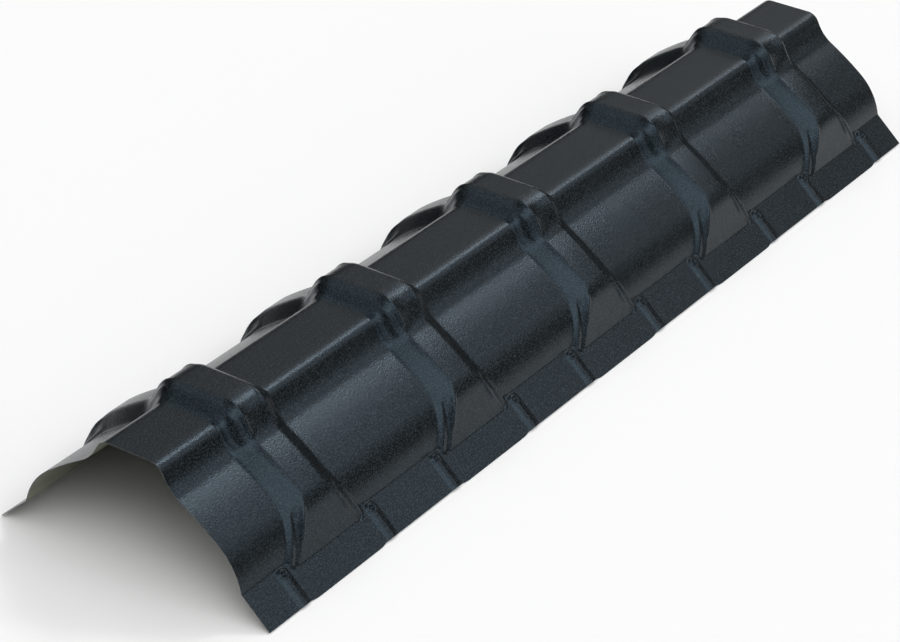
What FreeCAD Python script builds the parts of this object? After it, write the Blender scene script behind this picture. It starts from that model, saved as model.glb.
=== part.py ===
import FreeCAD
import Part
import math
import os

# Roof ridge cap pressed from one sheet of coated steel. Millimetres, X along the ridge,
# Y across it, Z up. The sheet stands on the lower edges of its two flanges.

# Sheet and module
CAP_LENGTH = 1000.0
RIB_PITCH = 200.0
SHEET_THICKNESS = 0.5

# Plain section, from the crown out to one flange. Angles are degrees below the horizontal.
CROWN_WIDTH = 39.8
SHOULDER_RADIUS = 12.8
SHOULDER_ANGLE = 61.7
DROP_LENGTH = 4.0
HOLLOW_RADIUS = 39.2
SLOPE_TOP_ANGLE = 30.0
SLOPE_RADIUS = 298.0
SLOPE_FOOT_ANGLE = 38.0
BELLY_RADIUS = 60.2
BELLY_FOOT_ANGLE = 78.1
HEEL_RADIUS = 2.5
FLANGE_ANGLE = 41.6
FLANGE_WIDTH = 34.0

# Line along the top of a cross rib. It follows the plain section at a distance, then bends
# into a straight facet that steps out onto the flange.
RIB_CROWN_HEIGHT = 13.0
RIB_RISE = 11.3
RIB_DROP_LENGTH = 8.0
RIB_BEND_RADIUS = 34.0
RIB_HEEL_STEP = 7.5
RIB_EDGE_BOW = 1.3

# Rib widths, the same from the crown down to the slope, then flared to the flange
RIB_FOOT_WIDTH = 65.0
RIB_TOP_WIDTH = 22.0
RIB_HEEL_FOOT_WIDTH = 97.0
RIB_HEEL_TOP_WIDTH = 70.0
RIB_FLARE_POWER = 1.6
RIB_FOOT_ROUNDING = 0.12
RIB_TOP_ROUNDING = 0.28

# Stiffening beads across the flange, one beside each foot of a rib
BEAD_OFFSET = 7.7
BEAD_WIDTH = 13.0
BEAD_HEIGHT = 2.0
BEAD_HEAD_LENGTH = 6.0

# How finely the curved skin is sampled
RAMP_SAMPLES = 4
BEAD_SAMPLES = 8
ARC_STEP_ANGLE = 8.0


# One straight or round run of a section line
class Run:
    def __init__(self, name, start, length, start_angle, end_angle):
        self.name = name
        self.start = start
        self.length = length
        self.start_angle = math.radians(start_angle)
        self.end_angle = math.radians(end_angle)
        self.straight = abs(end_angle - start_angle) < 1e-9
        self.first = 0.0

    def angle(self, share):
        return self.start_angle + (self.end_angle - self.start_angle) * share

    def point(self, share):
        if self.straight:
            across = self.length * share * math.cos(self.start_angle)
            down = self.length * share * math.sin(self.start_angle)
        else:
            radius = self.length / (self.end_angle - self.start_angle)
            across = radius * (math.sin(self.angle(share)) - math.sin(self.start_angle))
            down = radius * (math.cos(self.start_angle) - math.cos(self.angle(share)))
        return self.start[0] + across, self.start[1] - down

    def travels(self):
        if self.name == "flange":
            head = min(BEAD_HEAD_LENGTH, self.length / 2.0)
            runs = [head * number / 4.0 for number in range(4)]
            runs += [head + (self.length - head) * number / 3.0 for number in range(4)]
        else:
            turn = abs(math.degrees(self.end_angle - self.start_angle))
            count = max(5, int(math.ceil(turn / ARC_STEP_ANGLE)) + 2)
            runs = [self.length * number / (count - 1.0) for number in range(count)]
        return [self.first + run for run in runs]


def round_run(name, radius, start_angle, end_angle):
    return name, radius * math.radians(abs(end_angle - start_angle)), start_angle, end_angle


def straight_run(name, length, angle):
    return name, length, angle, angle


def chain(start, steps):
    runs = []
    corner = start
    travelled = 0.0
    for name, length, start_angle, end_angle in steps:
        run = Run(name, corner, length, start_angle, end_angle)
        run.first = travelled
        runs.append(run)
        corner = run.point(1.0)
        travelled += length
    return runs


# The plain half section
belly_middle_angle = (SLOPE_FOOT_ANGLE + BELLY_FOOT_ANGLE) / 2.0
plain_line = chain(
    (0.0, 0.0),
    [
        straight_run("crown", CROWN_WIDTH / 2.0, 0.0),
        round_run("shoulder", SHOULDER_RADIUS, 0.0, SHOULDER_ANGLE),
        straight_run("drop", DROP_LENGTH, SHOULDER_ANGLE),
        round_run("hollow", HOLLOW_RADIUS, SHOULDER_ANGLE, SLOPE_TOP_ANGLE),
        round_run("slope", SLOPE_RADIUS, SLOPE_TOP_ANGLE, SLOPE_FOOT_ANGLE),
        round_run("belly", BELLY_RADIUS, SLOPE_FOOT_ANGLE, belly_middle_angle),
        round_run("belly foot", BELLY_RADIUS, belly_middle_angle, BELLY_FOOT_ANGLE),
        round_run("heel", HEEL_RADIUS, BELLY_FOOT_ANGLE, FLANGE_ANGLE),
        straight_run("flange", FLANGE_WIDTH, FLANGE_ANGLE),
    ],
)
first_of = {run.name: run.first for run in plain_line}
flare_start = first_of["belly"]
heel_start = first_of["heel"]
flange_start = first_of["flange"]
section_end = flange_start + FLANGE_WIDTH
flange_slope = math.radians(FLANGE_ANGLE)


# The line along a rib top. The facet is the tangent from its corner on the flange to the bend.
def rib_top_line():
    steps = [
        straight_run("crown", CROWN_WIDTH / 2.0, 0.0),
        round_run("shoulder", SHOULDER_RADIUS + RIB_RISE, 0.0, SHOULDER_ANGLE),
        straight_run("drop", RIB_DROP_LENGTH, SHOULDER_ANGLE),
        round_run("hollow", HOLLOW_RADIUS - RIB_RISE, SHOULDER_ANGLE, SLOPE_TOP_ANGLE),
        round_run("slope", SLOPE_RADIUS + RIB_RISE, SLOPE_TOP_ANGLE, SLOPE_FOOT_ANGLE),
    ]
    start = (0.0, RIB_CROWN_HEIGHT)
    slope_end = chain(start, steps)[-1].point(1.0)
    slope_angle = math.radians(SLOPE_FOOT_ANGLE)
    bend_across = slope_end[0] - RIB_BEND_RADIUS * math.sin(slope_angle)
    bend_height = slope_end[1] - RIB_BEND_RADIUS * math.cos(slope_angle)
    flange_corner = plain_line[-1].start
    corner_across = flange_corner[0] + RIB_HEEL_STEP * math.cos(flange_slope)
    corner_height = flange_corner[1] - RIB_HEEL_STEP * math.sin(flange_slope)
    reach = math.hypot(corner_across - bend_across, corner_height - bend_height)
    toward = math.atan2(corner_height - bend_height, corner_across - bend_across)
    facet_angle = 90.0 - math.degrees(toward + math.acos(RIB_BEND_RADIUS / reach))
    heel_setback = HEEL_RADIUS * math.tan(math.radians(facet_angle - FLANGE_ANGLE) / 2.0)
    facet_length = math.sqrt(reach ** 2 - RIB_BEND_RADIUS ** 2) - heel_setback
    flange_length = FLANGE_WIDTH - RIB_HEEL_STEP - heel_setback + RIB_EDGE_BOW
    steps += [
        round_run("belly", RIB_BEND_RADIUS, SLOPE_FOOT_ANGLE, facet_angle),
        straight_run("belly foot", facet_length, facet_angle),
        round_run("heel", HEEL_RADIUS, facet_angle, FLANGE_ANGLE),
        straight_run("flange", flange_length, FLANGE_ANGLE),
    ]
    return chain(start, steps)


rib_line = rib_top_line()

# The lower edge of the sheet stands on the floor, where the ribs bow the flange tips outward
tip_height = min(plain_line[-1].point(1.0)[1], rib_line[-1].point(1.0)[1])
floor_drop = SHEET_THICKNESS * math.cos(flange_slope) - tip_height


def clamp(value, low=0.0, high=1.0):
    return min(max(value, low), high)


def ease(value):
    share = clamp(value)
    return share * share * (3.0 - 2.0 * share)


def run_at(travel):
    for number, run in enumerate(plain_line):
        if travel <= run.first + run.length:
            return number, (travel - run.first) / run.length
    return len(plain_line) - 1, 1.0


# Half widths of a rib at each place along the section
def flared(plain_width, heel_width, travel):
    share = clamp((travel - flare_start) / (heel_start - flare_start))
    return (plain_width + (heel_width - plain_width) * share ** RIB_FLARE_POWER) / 2.0


def rib_top(travel):
    return flared(RIB_TOP_WIDTH, RIB_HEEL_TOP_WIDTH, travel)


def rib_foot(travel):
    return flared(RIB_FOOT_WIDTH, RIB_HEEL_FOOT_WIDTH, travel)


bead_middle = RIB_HEEL_FOOT_WIDTH / 2.0 + BEAD_OFFSET
flank_width = bead_middle + BEAD_WIDTH / 2.0

# As many ribs as the length holds, each with its beads and some plain sheet beyond them
room_beside_rib = flank_width + BEAD_OFFSET
rib_count = 1 + max(0, int((CAP_LENGTH - 2.0 * room_beside_rib) / RIB_PITCH))
rib_centres = [(number - (rib_count - 1) / 2.0) * RIB_PITCH for number in range(rib_count)]


def rib_flank(travel):
    return flank_width


# The side of a rib is a ramp with a small rounding at its foot and a larger one at its top
def rib_shape(offset, travel):
    top = rib_top(travel)
    foot = rib_foot(travel)
    share = clamp((foot - abs(offset)) / (foot - top))
    pitch = 1.0 / (1.0 - (RIB_FOOT_ROUNDING + RIB_TOP_ROUNDING) / 2.0)
    if share < RIB_FOOT_ROUNDING:
        return pitch * share * share / (2.0 * RIB_FOOT_ROUNDING)
    if share > 1.0 - RIB_TOP_ROUNDING:
        return 1.0 - pitch * (1.0 - share) ** 2 / (2.0 * RIB_TOP_ROUNDING)
    return pitch * (share - RIB_FOOT_ROUNDING / 2.0)


def bead_lift(offset, travel):
    aside = (abs(offset) - bead_middle) / (BEAD_WIDTH / 2.0)
    if travel <= flange_start or abs(aside) >= 1.0:
        return 0.0
    return BEAD_HEIGHT * ease((travel - flange_start) / BEAD_HEAD_LENGTH) * (1.0 - aside * aside) ** 2


# A point of the outer skin. The offset is measured along the ridge from the rib centre.
def outer_point(travel, offset, along):
    number, share = run_at(travel)
    across, height = plain_line[number].point(share)
    rib_across, rib_height = rib_line[number].point(share)
    shape = rib_shape(offset, travel)
    raised = bead_lift(offset, travel)
    across += (rib_across - across) * shape + raised * math.sin(flange_slope)
    height += (rib_height - height) * shape + raised * math.cos(flange_slope)
    return FreeCAD.Vector(along, across, height + floor_drop)


def outward(travel, offset):
    number, share = run_at(travel)
    angle = plain_line[number].angle(share)
    plain = FreeCAD.Vector(0.0, math.sin(angle), math.cos(angle))
    if abs(offset) >= rib_foot(travel) - 1e-6 and bead_lift(offset, travel) < 1e-6:
        return plain
    step = 0.02
    low = max(travel - step, 0.0)
    high = min(travel + step, section_end)
    down = outer_point(high, offset, offset) - outer_point(low, offset, offset)
    along = outer_point(travel, offset + step, offset + step) - outer_point(travel, offset - step, offset - step)
    normal = along.cross(down)
    if travel <= 0.0:
        normal.y = 0.0
    normal.normalize()
    if normal.dot(plain) < 0.0:
        normal = normal * -1.0
    return normal


def skin_point(travel, offset, along, inside):
    point = outer_point(travel, offset, along)
    if inside:
        point = point - outward(travel, offset) * SHEET_THICKNESS
    return point


# The sheet is cut into zones along its length: a plain one, then the flank, side, top, side and
# flank of a rib, and so on. A flank carries the bead, and a side carries the ramp.
def beside(centre, half_width, side):
    return lambda travel: centre + side * half_width(travel)


def cap_end(side):
    return lambda travel: side * CAP_LENGTH / 2.0


class Zone:
    def __init__(self, kind, centre, low_edge, high_edge, side):
        self.kind = kind
        self.centre = centre
        self.low_edge = low_edge
        self.high_edge = high_edge
        self.side = side

    def shares(self, run):
        if self.kind == "side":
            ramp = 1.0 - RIB_FOOT_ROUNDING - RIB_TOP_ROUNDING
            found = [0.0, RIB_FOOT_ROUNDING / 2.0]
            found += [RIB_FOOT_ROUNDING + ramp * number / (RAMP_SAMPLES - 1.0) for number in range(RAMP_SAMPLES)]
            found += [1.0 - RIB_TOP_ROUNDING * 2.0 / 3.0, 1.0 - RIB_TOP_ROUNDING / 3.0, 1.0]
        elif self.kind == "flank" and run.name == "flange":
            bead_share = min(1.0, BEAD_WIDTH / (flank_width - rib_foot(flange_start)))
            found = [bead_share * number / BEAD_SAMPLES for number in range(BEAD_SAMPLES)] + [bead_share]
            if bead_share < 1.0:
                found.append(1.0)
        else:
            found = [0.0, 1.0]
        if self.side > 0:
            found = [1.0 - share for share in reversed(found)]
        return found

    def row(self, travel, run, inside):
        low = self.low_edge(travel)
        high = self.high_edge(travel)
        points = []
        for share in self.shares(run):
            along = low + (high - low) * share
            offset = flank_width if self.kind == "plain" else along - self.centre
            points.append(skin_point(travel, offset, along, inside))
        return points

    def flat(self, run):
        if self.kind == "flank":
            return run.straight and run.name != "flange"
        return run.straight and self.kind == "plain"


def rib_zones(centre):
    return [
        Zone("flank", centre, beside(centre, rib_flank, -1), beside(centre, rib_foot, -1), -1),
        Zone("side", centre, beside(centre, rib_foot, -1), beside(centre, rib_top, -1), -1),
        Zone("top", centre, beside(centre, rib_top, -1), beside(centre, rib_top, 1), -1),
        Zone("side", centre, beside(centre, rib_top, 1), beside(centre, rib_foot, 1), 1),
        Zone("flank", centre, beside(centre, rib_foot, 1), beside(centre, rib_flank, 1), 1),
    ]


def sheet_zones():
    found = []
    low_edge = cap_end(-1)
    for centre in rib_centres:
        found.append(Zone("plain", centre, low_edge, beside(centre, rib_flank, -1), -1))
        found += rib_zones(centre)
        low_edge = beside(centre, rib_flank, 1)
    found.append(Zone("plain", rib_centres[-1], low_edge, cap_end(1), -1))
    return found


zones = sheet_zones()


# Surfaces through rows of points, with the same spacing on shared edges
def curve_through(points, spacing):
    curve = Part.BSplineCurve()
    curve.interpolate(Points=points, Parameters=spacing)
    return curve


def patch_through(rows, row_spacing, column_spacing):
    row_curves = [curve_through(row, column_spacing) for row in rows]
    columns = list(zip(*[curve.getPoles() for curve in row_curves]))
    column_curves = [curve_through(list(column), row_spacing) for column in columns]
    poles = [list(line) for line in zip(*[curve.getPoles() for curve in column_curves])]
    surface = Part.BSplineSurface()
    surface.buildFromPolesMultsKnots(
        poles,
        column_curves[0].getMultiplicities(),
        row_curves[0].getMultiplicities(),
        column_curves[0].getKnots(),
        row_curves[0].getKnots(),
        False,
        False,
        column_curves[0].Degree,
        row_curves[0].Degree,
    )
    return surface.toShape()


def flat_patch(rows):
    corners = [rows[0][0], rows[0][-1], rows[-1][-1], rows[-1][0]]
    return Part.Face(Part.makePolygon(corners + [corners[0]]))


def mirrored(rows):
    return [[FreeCAD.Vector(point.x, -point.y, point.z) for point in row] for row in rows]


def both_sides(rows, row_spacing, column_spacing, flat):
    faces = []
    for side_rows in (rows, mirrored(rows)):
        if flat:
            faces.append(flat_patch(side_rows))
        else:
            faces.append(patch_through(side_rows, row_spacing, column_spacing))
    return faces


def skin_faces(inside):
    faces = []
    for zone in zones:
        for run in plain_line:
            travels = run.travels()
            rows = [zone.row(travel, run, inside) for travel in travels]
            faces += both_sides(rows, travels, zone.shares(run), zone.flat(run))
    return faces


# The cut edges of the sheet, along both flanges and at both ends
def tip_faces():
    flange = plain_line[-1]
    faces = []
    for zone in zones:
        rows = [zone.row(section_end, flange, inside) for inside in (False, True)]
        faces += both_sides(rows, [0.0, 1.0], zone.shares(flange), zone.flat(flange))
    return faces


def end_faces():
    faces = []
    for along in (-CAP_LENGTH / 2.0, CAP_LENGTH / 2.0):
        for run in plain_line:
            travels = run.travels()
            rows = [[skin_point(travel, flank_width, along, inside) for travel in travels] for inside in (False, True)]
            faces += both_sides(rows, [0.0, 1.0], travels, run.straight)
    return faces


def pressed_sheet():
    faces = skin_faces(False) + skin_faces(True) + tip_faces() + end_faces()
    shell = Part.makeShell(faces)
    shell.sewShape()
    solid = Part.makeSolid(shell)
    if solid.Volume < 0.0:
        solid.reverse()
    return solid


ridge_cap = pressed_sheet()
box = ridge_cap.BoundBox
print("rib facet", round(rib_line[6].length, 2), "mm at", round(math.degrees(rib_line[6].end_angle), 2), "degrees")
print("ridge cap", round(box.XLength, 2), round(box.YLength, 2), round(box.ZLength, 2), "mm")
print("sheet volume", round(ridge_cap.Volume / 1000.0, 2), "cm3, valid", ridge_cap.isValid())
os.makedirs("parts", exist_ok=True)
ridge_cap.exportStep("parts/ridge_cap.step")
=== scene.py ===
# %% [markdown]
# A roof ridge cap is one long strip of coated steel sheet, pressed to a stepped section, that
# covers the line where two roof slopes meet. This lesson dresses the plain model of it: first the
# section, then the cross ribs and their small folds, then the coat of paint, the light and the
# camera. The imported model comes in first as a fixed frame, and its box is kept, because the
# length of the cap and the places of the ribs are measured from it. The imported model comes in
# first as a fixed frame, and its box is kept, because everything made later has to stay inside
# it.

# %% Load the frame
import bpy
import numpy as np
from mathutils import Matrix, Vector


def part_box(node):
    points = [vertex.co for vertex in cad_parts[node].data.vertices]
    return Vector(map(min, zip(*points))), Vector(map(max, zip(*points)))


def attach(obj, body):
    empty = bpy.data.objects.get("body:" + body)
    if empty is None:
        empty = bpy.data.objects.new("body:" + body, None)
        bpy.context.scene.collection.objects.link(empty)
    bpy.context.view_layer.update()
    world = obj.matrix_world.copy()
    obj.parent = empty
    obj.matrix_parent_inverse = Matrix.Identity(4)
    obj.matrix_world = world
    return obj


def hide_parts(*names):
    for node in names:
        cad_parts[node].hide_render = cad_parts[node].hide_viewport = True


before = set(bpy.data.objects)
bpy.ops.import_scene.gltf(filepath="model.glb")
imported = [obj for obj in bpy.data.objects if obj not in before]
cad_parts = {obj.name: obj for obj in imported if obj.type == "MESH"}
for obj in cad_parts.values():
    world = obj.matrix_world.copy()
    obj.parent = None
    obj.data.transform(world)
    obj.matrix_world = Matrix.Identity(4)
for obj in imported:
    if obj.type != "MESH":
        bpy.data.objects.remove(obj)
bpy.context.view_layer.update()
node_low, node_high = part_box("ridge_cap")
MM = 0.001
CAP_LENGTH = node_high[0] - node_low[0]
print("ridge cap box", [round(v, 4) for v in node_low], [round(v, 4) for v in node_high])

# %% [markdown]
# The section is a chain of straight runs and round bends. It could be drawn as a Bezier curve and
# extruded, but the folds that come later need to know how far each point has travelled along the
# sheet. So the section is described the way a folding machine would feel it: each run has a length
# in millimetres and the heading, in degrees below level, that the sheet has reached at its end. The
# heading turns steadily within a run, and adding up small steps along it gives the outline.

# %% Plain section
STEP_COUNT = 9000
PLAIN_RUNS = {
    "crown": (19.9, 0.0),
    "shoulder": (13.784, 61.7),
    "drop": (4.0, 61.7),
    "hollow": (21.688, 30.0),
    "slope": (41.609, 38.0),
    "belly": (21.066, 58.05),
    "belly foot": (21.066, 78.1),
    "heel": (1.593, 41.6),
    "flange": (34.0, 41.6),
}


def run_lengths(runs):
    return np.array([length for length, heading in runs.values()]) * MM


def run_headings(runs):
    return np.radians([0.0] + [heading for length, heading in runs.values()])


plain_lengths = run_lengths(PLAIN_RUNS)
run_ends = np.concatenate([[0.0], np.cumsum(plain_lengths)])
start_of = dict(zip(PLAIN_RUNS, run_ends))
SHEET_EDGE = run_ends[-1]
small_steps = np.linspace(0.0, SHEET_EDGE, STEP_COUNT + 1)
step_middles = (small_steps[1:] + small_steps[:-1]) / 2.0
step_runs = np.searchsorted(run_ends, step_middles, side="right") - 1


def walk(runs, start_height):
    pace = (run_lengths(runs) / plain_lengths)[step_runs] * (small_steps[1] - small_steps[0])
    turn = np.interp(step_middles, run_ends, run_headings(runs))
    across = np.concatenate([[0.0], np.cumsum(np.cos(turn) * pace)])
    fall = np.concatenate([[0.0], np.cumsum(np.sin(turn) * pace)])
    return across, start_height - fall


plain_across, plain_height = walk(PLAIN_RUNS, 0.0)
plain_heading = np.interp(small_steps, run_ends, run_headings(PLAIN_RUNS))
print("plain section is", round(2 * plain_across[-1] / MM, 1), "mm wide, from",
      round(SHEET_EDGE / MM, 1), "mm of sheet a side")

# %% [markdown]
# Five ribs cross the sheet. The line along the top of a rib has the same runs as the plain section,
# each a little longer or shorter. It starts 13 mm above the crown, keeps about that distance down
# to the slope, and then bends into a straight facet that steps out onto the flange. Because the two
# lines have the same runs, every point of the rib knows which point of the plain sheet it was
# pushed out from. Both are then lifted until the inside of the lower edge stands on the floor.

# %% Line along a rib top
SHEET = 0.5 * MM
RIB_CROWN_HEIGHT = 13.0 * MM
RIB_RUNS = {
    "crown": (19.9, 0.0),
    "shoulder": (25.953, 61.7),
    "drop": (8.0, 61.7),
    "hollow": (15.436, 30.0),
    "slope": (43.186, 38.0),
    "belly": (22.680, 76.22),
    "belly foot": (29.850, 76.22),
    "heel": (1.511, 41.6),
    "flange": (27.021, 41.6),
}
rib_across, rib_height = walk(RIB_RUNS, RIB_CROWN_HEIGHT)
lift_off_floor = SHEET * np.cos(plain_heading[-1]) - min(plain_height[-1], rib_height[-1])
plain_height = plain_height + lift_off_floor
rib_height = rib_height + lift_off_floor
print("crown at", round(plain_height[0] / MM, 1), "mm, rib top at",
      round(rib_height[0] / MM, 1), "mm")

# %% [markdown]
# Across its width a rib is a flat top between two ramps. Its top and its foot keep their widths from
# the crown to the slope and flare below it, so that the facet at the bottom is much wider than the
# crown of the rib. Each half width is given twice, above the belly and at the heel. The flare
# starts slowly and then opens faster, which a power of the share of the way gives.

# %% Rib widths
RIB_COUNT = 5
RIB_PITCH = CAP_LENGTH / RIB_COUNT
RIB_CENTRES = [node_low[0] + RIB_PITCH * (number + 0.5) for number in range(RIB_COUNT)]
TOP_HALVES = (11.0 * MM, 35.0 * MM)
FOOT_HALVES = (32.5 * MM, 48.5 * MM)
FLARE_START = start_of["belly"]
HEEL = start_of["heel"]
FLARE_POWER = 1.6


def blend(first, last, share):
    return first + (last - first) * share


def flared(halves, travel):
    share = np.clip((travel - FLARE_START) / (HEEL - FLARE_START), 0.0, 1.0)
    return blend(*halves, share ** FLARE_POWER)


print(RIB_COUNT, "ribs", round(RIB_PITCH / MM), "mm apart, feet",
      round(2 * FOOT_HALVES[0] / MM), "mm wide on the crown")

# %% [markdown]
# A small rounding joins the ramp to the sheet at its foot and another one to the flat at its top.
# The top is roundest on the crown and sharpest low down, where the sheet is drawn tight over the
# edge of the tool. On the lower wall the ramp also rises faster near its foot. All this is one curve
# from 0, on the plain line, to 1, on the line along the rib top. The helper called ease goes
# smoothly from 0 to 1 between two places and is used for every soft start and end below.

# %% Shape of a ramp
FOOT_ROUND = 0.22
TOP_ROUND_ON_CROWN = 0.50
TOP_ROUND_AT_HEEL = 0.22
STEEP_FROM = 114.0 * MM
STEEP_FULL = 142.0 * MM
STEEP_POWER = 2.2


def ease(value, zero, one):
    share = np.clip((value - zero) / (one - zero), 0.0, 1.0)
    return share * share * (3.0 - 2.0 * share)


def ramp_share(offset, travel):
    top = flared(TOP_HALVES, travel)
    foot = flared(FOOT_HALVES, travel)
    return np.clip((foot - np.abs(offset)) / (foot - top), 0.0, 1.0)


def rib_shape(climb, travel):
    tightened = ease(travel, start_of["shoulder"], HEEL)
    top_round = blend(TOP_ROUND_ON_CROWN, TOP_ROUND_AT_HEEL, tightened)
    pitch = 1.0 / (1.0 - (FOOT_ROUND + top_round) / 2.0)
    steepened = ease(travel, STEEP_FROM, STEEP_FULL)
    climb = blend(climb, 1.0 - (1.0 - climb) ** STEEP_POWER, steepened)
    low = pitch * climb ** 2 / (2.0 * FOOT_ROUND)
    middle = pitch * (climb - FOOT_ROUND / 2.0)
    high = 1.0 - pitch * (1.0 - climb) ** 2 / (2.0 * top_round)
    return np.where(climb < FOOT_ROUND, low, np.where(climb > 1.0 - top_round, high, middle))


print("half way along a ramp the sheet has risen", round(float(rib_shape(0.5, 0.0)), 2),
      "of the rib on the crown and", round(float(rib_shape(0.5, HEEL)), 2), "at the heel")

# %% [markdown]
# Beside each rib foot a short half-round bead runs out across the flange to the edge of the sheet.
# It stiffens the flange, and its head is a raised ring around a small round dimple that the press
# punch leaves. A bevel or a boolean would cut the sheet up, so it is a push square to the flange:
# the bead or the ring, whichever is higher, less the dimple.

# %% Flange beads
FLANGE = start_of["flange"]
BEAD_MIDDLE = 56.2 * MM
BEAD_HALF = 6.5 * MM
BEAD_HEIGHT = 2.0 * MM
BEAD_START = 1.0 * MM
BEAD_FULL = 6.6 * MM
HEAD_OUT = 5.6 * MM
RING_FOOT = 6.6 * MM
RING_TOP = 3.0 * MM
RING_HEIGHT = 2.2 * MM
RING_FULL = 1.2 * MM
PIT_DEPTH = 2.8 * MM


def hump(distance, half):
    return np.clip(1.0 - (distance / half) ** 2, 0.0, None)


def bead_height(offset, travel):
    aside = np.abs(offset) - BEAD_MIDDLE
    out = travel - FLANGE
    from_head = np.hypot(aside, out - HEAD_OUT)
    bead = BEAD_HEIGHT * hump(aside, BEAD_HALF) * ease(out, BEAD_START, BEAD_FULL)
    ring = RING_HEIGHT * ease(from_head, RING_FOOT, RING_TOP) * ease(out, 0.0, RING_FULL)
    return np.maximum(bead, ring) - PIT_DEPTH * hump(from_head, RING_TOP)


print("bead", round(2 * BEAD_HALF / MM, 1), "mm wide,", round(BEAD_HEIGHT / MM, 1), "mm high")

# %% [markdown]
# The press has to gather sheet where a rib bends, and the sheet folds a little on the ramps. Under
# the shoulder there are three short upright wrinkles. Low on the wall there are two long pleats
# with a groove between them: one runs along the foot of the ramp into the head of the bead, the
# other dies out along the edge of the facet. Bump would vanish at the outline, so these are real
# folds. Each has a height in millimetres, its place up the ramp and its half width, both of them
# above and below the stretch where the groove widens, and the travel where it fades in and out.

# %% Wrinkles and pleats
FOLDS = {
    "first wrinkle": (1.1, (0.18, 0.18), (0.12, 0.12), (24.0, 28.0), (44.0, 51.0)),
    "second wrinkle": (1.1, (0.53, 0.53), (0.12, 0.12), (24.0, 28.0), (44.0, 51.0)),
    "third wrinkle": (1.1, (0.87, 0.87), (0.12, 0.12), (24.0, 28.0), (44.0, 51.0)),
    "foot pleat": (1.2, (0.24, 0.24), (0.22, 0.22), (102.0, 120.0), (145.0, 149.0)),
    "groove": (-1.3, (0.45, 0.60), (0.14, 0.26), (108.0, 120.0), (139.0, 147.0)),
    "edge pleat": (1.7, (0.81, 0.81), (0.15, 0.15), (106.0, 118.0), (128.0, 136.0)),
}
WIDENING = (112.0, 140.0)
PLEATS_AT = 126.0 * MM


def fold_height(climb, travel):
    gone = travel / MM
    widened = ease(gone, *WIDENING)
    total = 0.0
    for height, places, halves, fade_in, fade_out in FOLDS.values():
        fold = hump(climb - blend(*places, widened), blend(*halves, widened)) ** 2
        kept = ease(gone, *fade_in) * ease(gone, fade_out[1], fade_out[0])
        total = total + height * MM * fold * kept
    return total


pleats = fold_height(np.linspace(0.0, 1.0, 101), PLEATS_AT)
print("from groove to pleat", round(float(np.ptp(pleats)) / MM, 1), "mm")

# %% [markdown]
# The whole sheet is one grid, and a subdivided box would not give it: every bend has to lie along
# its own line of edges. The rows follow the section. They are close together in the bends, on the
# lower wall where the pleats are and on the part of the flange that the bead heads take up.

# %% Rows of the grid
ROWS_IN = {
    "crown": 4, "shoulder": 10, "drop": 3, "hollow": 12,
    "slope": 7, "belly": 12, "belly foot": 17, "heel": 5,
}
HEAD_ROWS, OUTER_ROWS = 16, 3
HEADS_END = FLANGE + 11.5 * MM


def spread(low, high, count):
    return list(np.linspace(low, high, count, endpoint=False))


half_rows = []
for name, count in ROWS_IN.items():
    half_rows += spread(start_of[name], start_of[name] + PLAIN_RUNS[name][0] * MM, count)
half_rows += spread(FLANGE, HEADS_END, HEAD_ROWS)
half_rows += spread(HEADS_END, SHEET_EDGE, OUTER_ROWS) + [SHEET_EDGE]
rows = np.array([-travel for travel in reversed(half_rows[1:])] + half_rows)
print(len(rows), "rows")

# %% [markdown]
# The columns follow the beads, the feet and the tops of the ribs. Each is a zone, a place along the
# cap, a side of the rib and a share of the way through the zone. A plain stretch needs few columns,
# but some stand right beside the beads. Without them the tilted shading of a bead head would smear
# over the wide faces next to it.

# %% Columns of the grid
FLANK_EDGE = BEAD_MIDDLE + RING_FOOT
FLANK_COLUMNS = 17
FOOT_BEND, TOP_BEND = 0.24, 0.8
FIRST_STRETCH = (0.0, 0.4, 0.7, 0.96)
MIDDLE_STRETCH = (0.02, 0.5, 0.98)
LAST_STRETCH = (0.04, 0.3, 0.6, 1.0)

ramp_shares = spread(0.0, FOOT_BEND, 4) + spread(FOOT_BEND, TOP_BEND, 8) + spread(TOP_BEND, 1.0, 4)
near_half = [("flank", -1, share) for share in spread(0.0, 1.0, FLANK_COLUMNS)]
near_half += [("ramp", -1, share) for share in ramp_shares]
flat_top = [("top", 1, share) for share in (-1.0, 0.0, 1.0)]
far_half = [(zone, 1, share) for zone, side, share in reversed(near_half)]


def plain_columns(low, high, shares):
    return [("plain", blend(low, high, share), 1, share) for share in shares]


columns = []
stretch_start = node_low[0]
for centre in RIB_CENTRES:
    shares = MIDDLE_STRETCH if columns else FIRST_STRETCH
    columns += plain_columns(stretch_start, centre - FLANK_EDGE, shares)
    columns += [(zone, centre, side, share) for zone, side, share in near_half + flat_top + far_half]
    stretch_start = centre + FLANK_EDGE
columns += plain_columns(stretch_start, node_high[0], LAST_STRETCH)
print(len(columns), "columns")

# %% [markdown]
# Now the pushes are added up, column by column. The rib moves each point from the plain line toward
# the rib line, and the folds and beads move it square to the plain sheet. The same sums serve both
# sides of the cap, as only the sign across it differs.

# %% Outer face
travel = np.abs(rows)
side_sign = np.where(rows < 0.0, -1.0, 1.0)
base_across = np.interp(travel, small_steps, plain_across)
base_height = np.interp(travel, small_steps, plain_height)
square = np.pi / 2.0 - np.interp(travel, small_steps, plain_heading)
push_across = np.interp(travel, small_steps, rib_across) - base_across
push_height = np.interp(travel, small_steps, rib_height) - base_height
top_line = flared(TOP_HALVES, travel)
foot_line = flared(FOOT_HALVES, travel)


def column_offset(zone, side, share):
    if zone == "flank":
        return side * blend(FLANK_EDGE, foot_line, share)
    if zone == "ramp":
        return side * blend(foot_line, top_line, share)
    return share * top_line


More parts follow.
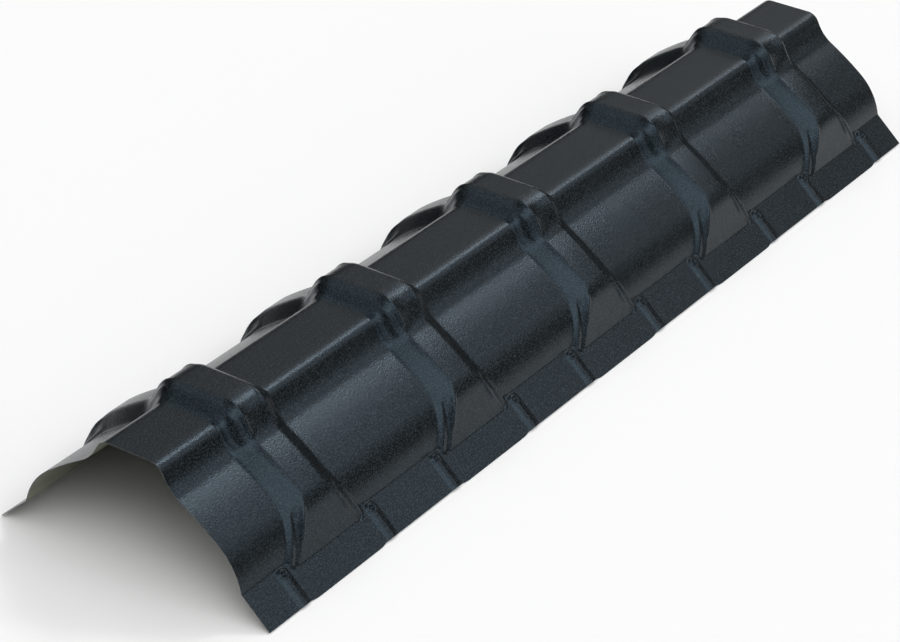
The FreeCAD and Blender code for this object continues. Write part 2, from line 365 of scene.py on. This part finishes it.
outer = np.zeros((len(rows), len(columns), 3))
for number, (zone, place, side, share) in enumerate(columns):
    offset, shape, lift = 0.0, 0.0, 0.0
    if zone != "plain":
        offset = column_offset(zone, side, share)
        climb = ramp_share(offset, travel)
        shape = rib_shape(climb, travel)
        lift = bead_height(offset, travel)
    if zone == "ramp":
        lift = lift + fold_height(climb, travel)
    outer[:, number, 0] = place + offset
    outer[:, number, 1] = side_sign * (base_across + push_across * shape + lift * np.cos(square))
    outer[:, number, 2] = base_height + push_height * shape + lift * np.sin(square)
print("outer face spans", np.round(np.ptp(outer.reshape(-1, 3), axis=0) / MM, 1), "mm")

# %% [markdown]
# The inner face is laid half a millimetre inside the outer one, along normals that come from the
# grid itself, so the sheet keeps its thickness over the folds too. A Solidify modifier would double
# every row. The inner face is hardly seen, so above the heel it takes only every third one.

# %% Inner face
BACK_STEP = 3
normals = np.cross(np.gradient(outer, axis=1), np.gradient(outer, axis=0))
normals /= np.linalg.norm(normals, axis=2, keepdims=True)
normals *= np.sign(normals[len(rows) // 2, 0, 2])
back_rows = [row for row in range(len(rows)) if row % BACK_STEP == 0 or travel[row] > HEEL]
back_points = (outer - normals * SHEET)[back_rows]
print("inner face has", len(back_rows), "of", len(rows), "rows")

# %% [markdown]
# The two faces and the cut edge become one mesh, as they are one sheet. A face is a list of point
# numbers, turned around where it has to look the other way. Where the inner face skips rows, the
# cut edge at each end joins the two with faces of a few corners each.

# %% Faces of the sheet
face_index = np.arange(len(rows) * len(columns)).reshape(len(rows), len(columns))
back_index = face_index[:len(back_rows)] + face_index.size
every_column = range(len(columns))


def quads(index):
    corners = [index[:-1, :-1], index[:-1, 1:], index[1:, 1:], index[1:, :-1]]
    return np.stack([corner.ravel() for corner in corners], axis=1).tolist()


def turned(faces):
    return [face[::-1] for face in faces]


def cut_edge(face_line, back_line, picked):
    strips = []
    for number in range(len(picked) - 1):
        span = face_line[picked[number]:picked[number + 1] + 1].tolist()
        strips.append(span + back_line[number:number + 2].tolist()[::-1])
    return strips


face_quads = quads(face_index)
back_quads = turned(quads(back_index))
edge_strips = cut_edge(face_index[0], back_index[0], every_column)
edge_strips += turned(cut_edge(face_index[-1], back_index[-1], every_column))
edge_strips += turned(cut_edge(face_index[:, 0], back_index[:, 0], back_rows))
edge_strips += cut_edge(face_index[:, -1], back_index[:, -1], back_rows)
print(len(face_quads), "outer,", len(back_quads), "inner and", len(edge_strips), "edge faces")

# %% [markdown]
# Both faces are shaded smooth and the cut edge flat. Smooth shading averages the normals of all the
# faces at a point, and along the rim that would pull a light line onto the coat, so every edge
# sharper than 70 degrees is marked as sharp. The numbers of the finishes say which of the three
# materials below a face gets.

# %% Sheet mesh
COAT, BACKING, EDGE = range(3)
SHARP_ANGLE = np.radians(70.0)
mesh = bpy.data.meshes.new("ridge_cap_sheet")
points = np.concatenate([outer.reshape(-1, 3), back_points.reshape(-1, 3)])
mesh.from_pydata(points.tolist(), [], face_quads + back_quads + edge_strips)
finish_of = [COAT] * len(face_quads) + [BACKING] * len(back_quads) + [EDGE] * len(edge_strips)
mesh.polygons.foreach_set("material_index", finish_of)
mesh.polygons.foreach_set("use_smooth", [finish != EDGE for finish in finish_of])
mesh.set_sharp_from_angle(angle=SHARP_ANGLE)
mesh.update()
sheet = bpy.data.objects.new("ridge_cap_sheet", mesh)
bpy.context.scene.collection.objects.link(sheet)
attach(sheet, "root")
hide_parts("ridge_cap")
mesh.calc_loop_triangles()
print("sheet has", len(mesh.loop_triangles), "triangles")

# %% [markdown]
# The coat outside is a graphite paint with a fine sandy texture, nearly black. A plain dark colour
# would look like rubber, so a fine noise, with grains of about a millimetre and smaller, sets
# lighter and darker specks in it. The helpers make a material with one shader, fill in sockets by
# name, and turn a noise into two tones.

# %% Graphite colour
GRAINS_PER_METRE = 760.0
SPECK_DARK = (0.002, 0.002, 0.002)
SPECK_LIGHT = (0.021, 0.027, 0.031)


def node_material(name):
    material = bpy.data.materials.new(name)
    material.use_nodes = True
    nodes = material.node_tree.nodes
    nodes.clear()
    output = nodes.new("ShaderNodeOutputMaterial")
    shader = nodes.new("ShaderNodeBsdfPrincipled")
    material.node_tree.links.new(shader.outputs["BSDF"], output.inputs["Surface"])
    return material, nodes, material.node_tree.links, shader


def fill_in(node, values):
    for socket, value in values.items():
        node.inputs[socket].default_value = value


def noise(nodes, links, place, scale, detail):
    texture = nodes.new("ShaderNodeTexNoise")
    fill_in(texture, {"Scale": scale, "Detail": detail})
    links.new(place, texture.inputs["Vector"])
    return texture.outputs["Fac"]


def two_tones(nodes, links, amount, low, dark, high, light):
    tones = nodes.new("ShaderNodeValToRGB")
    for stop, position, colour in zip(tones.color_ramp.elements, (low, high), (dark, light)):
        stop.position = position
        stop.color = (*colour, 1.0)
    links.new(amount, tones.inputs["Fac"])
    return tones.outputs["Color"]


coat, nodes, links, shader = node_material("graphite_coat")
place = nodes.new("ShaderNodeTexCoord").outputs["Object"]
grain = noise(nodes, links, place, GRAINS_PER_METRE, 3.0)
specks = two_tones(nodes, links, grain, 0.44, SPECK_DARK, 0.68, SPECK_LIGHT)
links.new(specks, shader.inputs["Base Color"])
print("specks from", SPECK_DARK, "to", SPECK_LIGHT)

# %% [markdown]
# The same grains roughen the surface with a little bump, so that the sheen breaks up into points. A
# wide noise lets the gloss drift a little, as it does on paint from a coil. The sheen itself is
# weak and has a faint blue in it.

# %% Graphite gloss and grain
DRIFTS_PER_METRE = 9.0
GRAIN_HEIGHT = 0.2 * MM
SHEEN = (0.55, 0.79, 1.0, 1.0)
drift = noise(nodes, links, place, DRIFTS_PER_METRE, 3.0)
gloss = nodes.new("ShaderNodeMapRange")
fill_in(gloss, {"From Min": 0.3, "From Max": 0.7, "To Min": 0.23, "To Max": 0.29})
links.new(drift, gloss.inputs["Value"])
links.new(gloss.outputs["Result"], shader.inputs["Roughness"])
bump = nodes.new("ShaderNodeBump")
fill_in(bump, {"Strength": 1.0, "Distance": GRAIN_HEIGHT})
links.new(grain, bump.inputs["Height"])
links.new(bump.outputs["Normal"], shader.inputs["Normal"])
fill_in(shader, {"Specular IOR Level": 0.30, "Specular Tint": SHEEN})
mesh.materials.append(coat)
print("coat on", len(face_quads), "faces")

# %% [markdown]
# The back of the sheet has a thin backing coat, a plain beige-grey that nobody sees on the roof. It
# is rolled on, so a noise stretched along the sheet gives it faint streaks.

# %% Backing coat
STREAKS_PER_METRE = 160.0
STREAK_SCALE = (0.08, 1.0, 1.0)
BEIGE_DARK = (0.150, 0.155, 0.118)
BEIGE_LIGHT = (0.185, 0.190, 0.146)
backing, nodes, links, shader = node_material("beige_backing_coat")
place = nodes.new("ShaderNodeTexCoord").outputs["Object"]
stretch = nodes.new("ShaderNodeMapping")
fill_in(stretch, {"Scale": STREAK_SCALE})
links.new(place, stretch.inputs["Vector"])
streaks = noise(nodes, links, stretch.outputs["Vector"], STREAKS_PER_METRE, 4.0)
tones = two_tones(nodes, links, streaks, 0.3, BEIGE_DARK, 0.7, BEIGE_LIGHT)
links.new(tones, shader.inputs["Base Color"])
fill_in(shader, {"Roughness": 0.5, "Specular IOR Level": 0.3})
mesh.materials.append(backing)
print("backing coat on", len(back_quads), "faces")

# %% [markdown]
# The edge of the sheet is bare where it was cut: dull zinc and steel, a little darker where the
# shear dragged the paint over it. It is only half a millimetre wide, so half a metal is enough to
# make it catch the light.

# %% Cut edge
DRAGS_PER_METRE = 240.0
STEEL_DARK = (0.035, 0.036, 0.038)
STEEL_LIGHT = (0.12, 0.12, 0.125)
edge, nodes, links, shader = node_material("cut_steel_edge")
place = nodes.new("ShaderNodeTexCoord").outputs["Object"]
drag = noise(nodes, links, place, DRAGS_PER_METRE, 3.0)
tones = two_tones(nodes, links, drag, 0.35, STEEL_DARK, 0.7, STEEL_LIGHT)
links.new(tones, shader.inputs["Base Color"])
fill_in(shader, {"Metallic": 0.5, "Roughness": 0.5})
mesh.materials.append(edge)
print("cut edge on", len(edge_strips), "faces")

# %% [markdown]
# The cap stands on a wide pale floor, which fills the whole view from this height, so no backdrop is
# needed. Its paint is matt and mirrors nothing, so that only the soft shadow shows on it. The white
# of the background comes from this colour, not from more light.

# %% Floor
FLOOR_SIZE = 40.0
FLOOR_COLOUR = (0.91, 0.91, 0.91, 1.0)
bpy.ops.mesh.primitive_plane_add(size=FLOOR_SIZE, location=(0.0, 0.0, 0.0))
floor = bpy.context.object
floor.name = "studio_floor"
floor_paint, nodes, links, shader = node_material("pale_floor")
fill_in(shader, {"Base Color": FLOOR_COLOUR, "Roughness": 0.9, "Specular IOR Level": 0.0})
floor.data.materials.append(floor_paint)
print("floor", [round(v, 1) for v in floor.dimensions[:2]], "m")

# %% [markdown]
# A dark satin coat shows almost nothing but reflections, so the light decides what is seen. Area
# lamps would do, but their hard edges show in the bends of the sheet. Here the light is painted
# into the world as soft glows. Each is strongest in one direction, given by a bearing and a rise in
# degrees, and fades with the angle from it: the sharper the glow, the faster.

# %% Soft glows
world = bpy.data.worlds.new("studio")
bpy.context.scene.world = world
world.use_nodes = True
nodes = world.node_tree.nodes
links = world.node_tree.links
nodes.clear()
sky = nodes.new("ShaderNodeTexCoord")
background = nodes.new("ShaderNodeBackground")
sky_output = nodes.new("ShaderNodeOutputWorld")
links.new(background.outputs["Background"], sky_output.inputs["Surface"])


def direction(bearing, rise):
    turn, lift = np.radians((bearing, rise))
    return np.cos(turn) * np.cos(lift), np.sin(turn) * np.cos(lift), np.sin(lift)


def sums(operation, first, second):
    step = nodes.new("ShaderNodeMath")
    step.operation = operation
    for socket, value in zip(step.inputs, (first, second)):
        if isinstance(value, float):
            socket.default_value = value
        else:
            links.new(value, socket)
    return step.outputs["Value"]


def glow(bearing, rise, sharpness, radiance):
    facing = nodes.new("ShaderNodeVectorMath")
    facing.operation = "DOT_PRODUCT"
    facing.inputs[1].default_value = direction(bearing, rise)
    links.new(sky.outputs["Generated"], facing.inputs[0])
    faded = sums("POWER", sums("MAXIMUM", facing.outputs["Value"], 0.0), sharpness)
    return sums("MULTIPLY", faded, radiance)


print("world", world.name, "is ready for glows")

# %% [markdown]
# A small bright glow beyond the cap draws the line along the shoulder, and the weaker far ones put
# the sheen on the slope and soften it. The wide glows at the side and on the right fill the ramps
# of the ribs. Those behind, over the left and on the left carry the light evenly over the rib
# crowns, and a faint even light keeps the hollows from going black.

# %% Light
GLOWS = {
    "far key": (-11.0, 47.0, 280.0, 30.0),
    "far middle": (6.0, 39.0, 90.0, 3.0),
    "far right": (-37.0, 35.0, 150.0, 4.2),
    "far sheen": (-28.0, 55.0, 50.0, 2.0),
    "far low": (-43.0, 24.0, 80.0, 0.9),
    "far left": (24.0, 34.0, 30.0, 0.95),
    "side": (-80.0, 47.0, 24.0, 4.4),
    "right": (-130.0, 48.0, 20.0, 5.0),
    "low right": (-100.0, 17.0, 30.0, 1.7),
    "behind": (176.0, 50.0, 22.0, 1.5),
    "over left": (62.0, 55.0, 14.0, 1.2),
    "left": (122.0, 56.0, 25.0, 1.9),
}
EVEN_LIGHT = 0.05
light = EVEN_LIGHT
for glow_name, numbers in GLOWS.items():
    light = sums("ADD", glow(*numbers), light)
    print(glow_name, "glow, radiance", numbers[-1])
links.new(light, background.inputs["Strength"])

# %% [markdown]
# The camera stands about 2.8 m off with a long lens, 30 degrees above the floor, beyond the near end
# of the cap and to its right, and leans a little to one side. The middle of the cap is slightly off
# the middle of the picture, so the camera is set by where a point midway between the two flange
# edges lies in its view: how far to the right, down and ahead.

# %% Camera
CAMERA_BEARING, CAMERA_RISE = 213.512, 30.188
LEAN = np.radians(1.869)
MIDDLE_IN_VIEW = (0.04267, -0.01049, 2.76076)
SENSOR_WIDTH = 36.0
FOCAL_LENGTH = 127.026
ahead = -Vector(direction(CAMERA_BEARING, CAMERA_RISE))
level_right = ahead.cross(Vector((0.0, 0.0, 1.0))).normalized()
level_down = ahead.cross(level_right)
right = level_right * np.cos(LEAN) - level_down * np.sin(LEAN)
down = level_right * np.sin(LEAN) + level_down * np.cos(LEAN)
camera_place = Vector((0.0, 0.0, plain_height[-1]))
for axis, distance in zip((right, down, ahead), MIDDLE_IN_VIEW):
    camera_place -= axis * distance
lens = bpy.data.cameras.new("photo_camera")
lens.sensor_width = SENSOR_WIDTH
lens.lens = FOCAL_LENGTH
camera = bpy.data.objects.new("photo_camera", lens)
bpy.context.scene.collection.objects.link(camera)
turn_to_view = Matrix((right, -down, -ahead)).transposed().to_4x4()
camera.matrix_world = Matrix.Translation(camera_place) @ turn_to_view
bpy.context.scene.camera = camera
bpy.context.scene.view_settings.view_transform = "Standard"
print("camera at", [round(v, 3) for v in camera_place])
